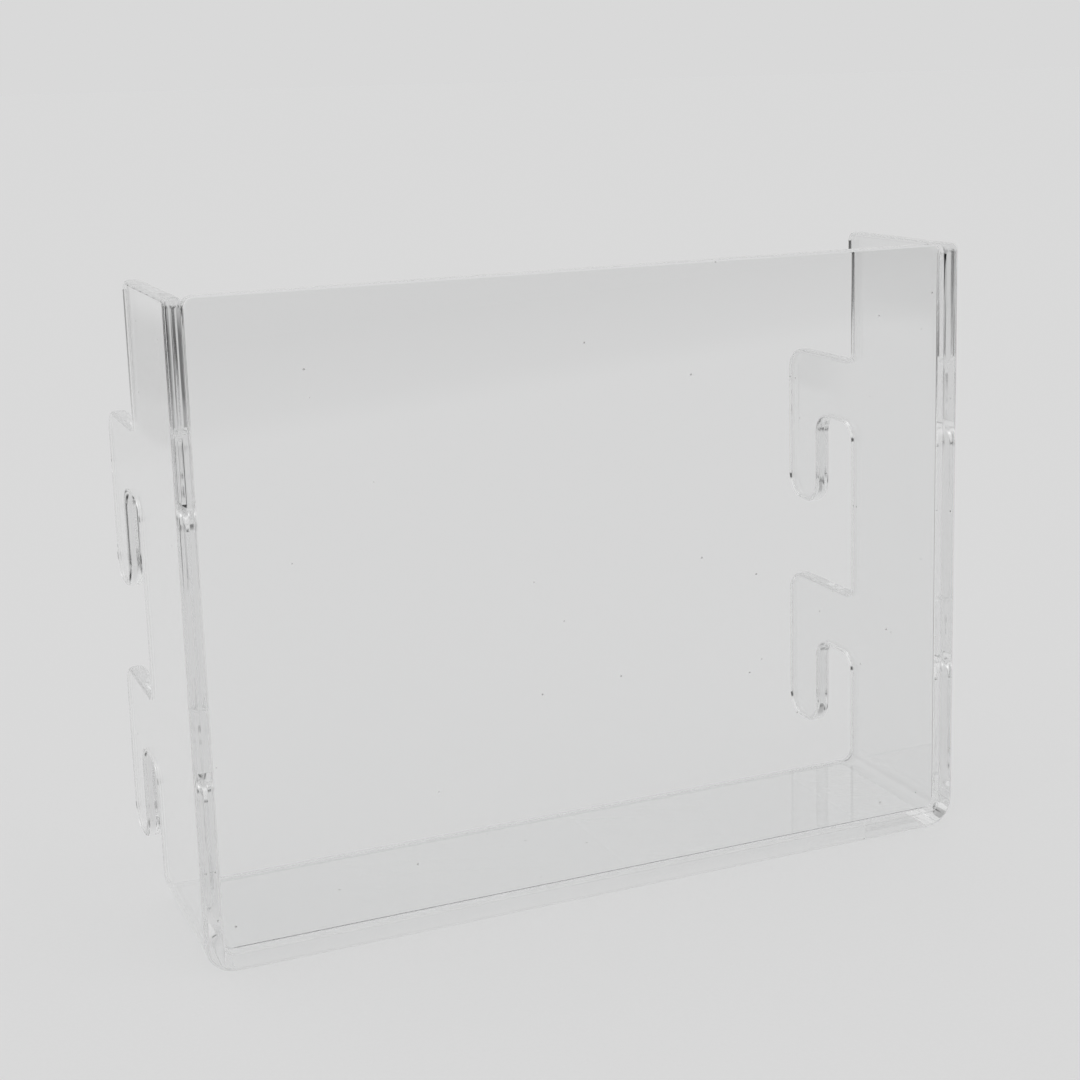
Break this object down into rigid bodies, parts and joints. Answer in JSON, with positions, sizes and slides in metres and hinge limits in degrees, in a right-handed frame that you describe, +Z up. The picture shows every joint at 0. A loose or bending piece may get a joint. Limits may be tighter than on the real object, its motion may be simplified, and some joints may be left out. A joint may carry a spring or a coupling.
{
  "type": "magazine rack",
  "caption": "Clear acrylic magazine pocket, open at the top and back, with rear hooks cut in its bent sides so that it hangs on horizontal rails.",
  "frame": {"origin": "centre of the bounding box in X and Y, at the underside of the floor", "axes": "+X along the pocket's width, +Y to the back, where the hooks are, +Z up; the front panel faces -Y"},
  "size_m": [0.24, 0.097, 0.185],
  "materials": {
    "clear_acrylic": "polished, clear",
    "solvent_cement": "clear, slightly cloudy"
  },
  "bodies": {
    "root": {"bent_side_and_floor_shell": "clear_acrylic", "front_panel": "clear_acrylic", "cement_seam": "solvent_cement"}
  },
  "joints": []
}
